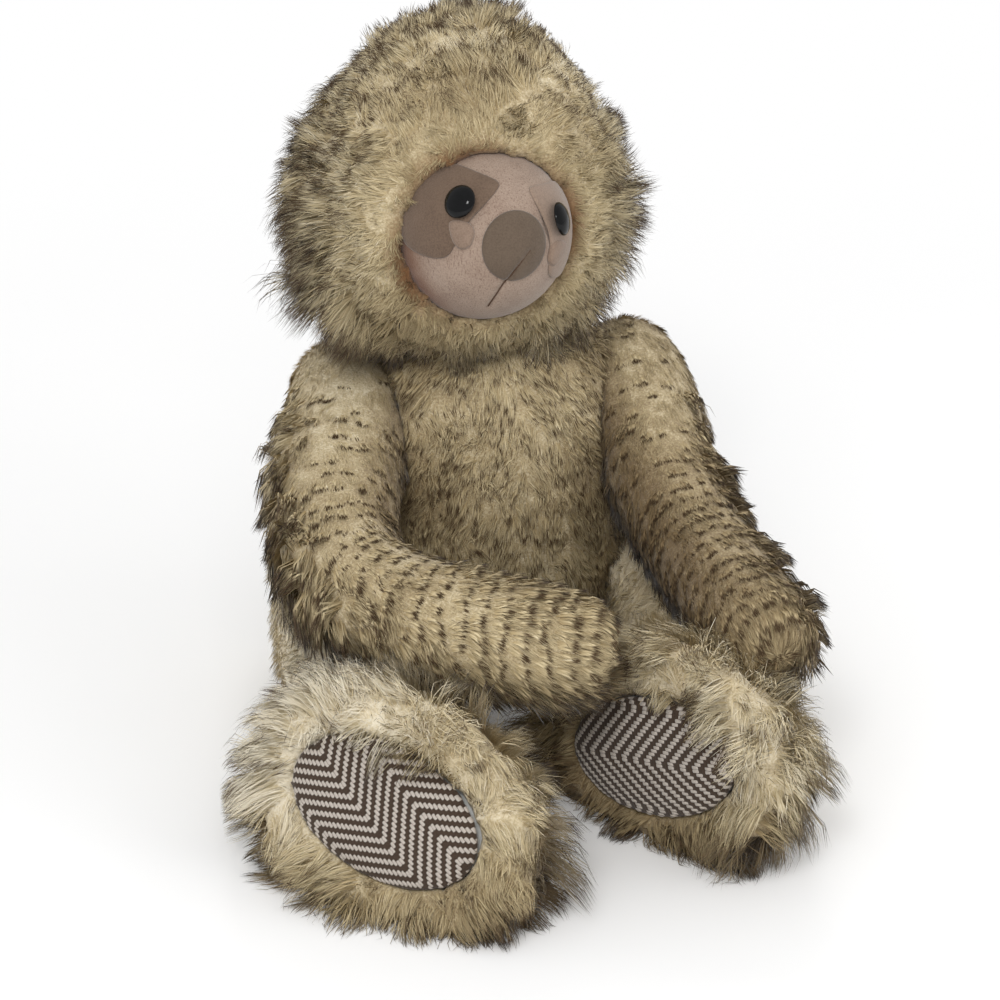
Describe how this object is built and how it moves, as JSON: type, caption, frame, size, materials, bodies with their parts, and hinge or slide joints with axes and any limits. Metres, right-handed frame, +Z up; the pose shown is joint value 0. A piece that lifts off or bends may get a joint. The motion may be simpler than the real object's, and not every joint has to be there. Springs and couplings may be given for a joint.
{
  "type": "plush sloth toy",
  "caption": "Seated plush sloth with a turning head, hinged arms and legs on disc joints, long fur and padded tweed soles.",
  "frame": {"origin": "on the flat of the seat, under the middle of the torso", "axes": "+Z up along the torso, -Y the way the torso faces, +X to the toy's left"},
  "size_m": [0.2161, 0.2846, 0.2881],
  "materials": {
    "long_pile_fur": "matte",
    "polyester_stuffing": "matte",
    "bag_cloth": "matte",
    "pink_velour": "matte",
    "taupe_velour": "matte",
    "herringbone_tweed": "matte",
    "brown_thread": "matte",
    "black_eye_plastic": "gloss",
    "white_nylon": "matte"
  },
  "bodies": {
    "torso": {"torso_fur_skin": "long_pile_fur", "torso_stuffing": "polyester_stuffing", "pellet_bag": "bag_cloth", "neck_washer_disc": "white_nylon", "shoulder_right_washer_disc": "white_nylon", "shoulder_left_washer_disc": "white_nylon", "hip_right_washer_disc": "white_nylon", "hip_left_washer_disc": "white_nylon"},
    "head": {"hood_fur_skin": "long_pile_fur", "face_panel": "pink_velour", "head_stuffing": "polyester_stuffing", "eye_patch_right": "taupe_velour", "eye_patch_left": "taupe_velour", "nose_patch": "taupe_velour", "mouth_stitch": "brown_thread", "eye_right": "black_eye_plastic", "eye_left": "black_eye_plastic", "eye_washer_right": "white_nylon", "eye_washer_left": "white_nylon", "neck_stem_disc": "white_nylon", "neck_lock_ring": "white_nylon"},
    "arm_right": {"arm_right_fur_skin": "long_pile_fur", "arm_right_stuffing": "polyester_stuffing", "shoulder_right_stem_disc": "white_nylon", "shoulder_right_lock_ring": "white_nylon"},
    "arm_left": {"arm_left_fur_skin": "long_pile_fur", "arm_left_stuffing": "polyester_stuffing", "shoulder_left_stem_disc": "white_nylon", "shoulder_left_lock_ring": "white_nylon"},
    "leg_right": {"leg_right_fur_skin": "long_pile_fur", "leg_right_stuffing": "polyester_stuffing", "hip_right_stem_disc": "white_nylon", "hip_right_lock_ring": "white_nylon", "sole_pad_right": "herringbone_tweed"},
    "leg_left": {"leg_left_fur_skin": "long_pile_fur", "leg_left_stuffing": "polyester_stuffing", "hip_left_stem_disc": "white_nylon", "hip_left_lock_ring": "white_nylon", "sole_pad_left": "herringbone_tweed"}
  },
  "joints": [
    {"name": "neck_turn", "type": "hinge", "parent": "torso", "child": "head", "pos_m": [0, 0, 0.162], "axis": [0, 0, 1], "range_deg": [-60, 60]},
    {"name": "shoulder_right_swing", "type": "hinge", "parent": "torso", "child": "arm_right", "pos_m": [-0.04307, 0, 0.12393], "axis": [-1, 0, 0], "range_deg": [0, 50]},
    {"name": "shoulder_left_swing", "type": "hinge", "parent": "torso", "child": "arm_left", "pos_m": [0.04307, 0, 0.12393], "axis": [-1, 0, 0], "range_deg": [0, 50]},
    {"name": "hip_right_swing", "type": "hinge", "parent": "torso", "child": "leg_right", "pos_m": [-0.04779, 0, 0.04455], "axis": [1, 0, 0], "range_deg": [0, 90]},
    {"name": "hip_left_swing", "type": "hinge", "parent": "torso", "child": "leg_left", "pos_m": [0.04779, 0, 0.04455], "axis": [1, 0, 0], "range_deg": [0, 90]}
  ]
}
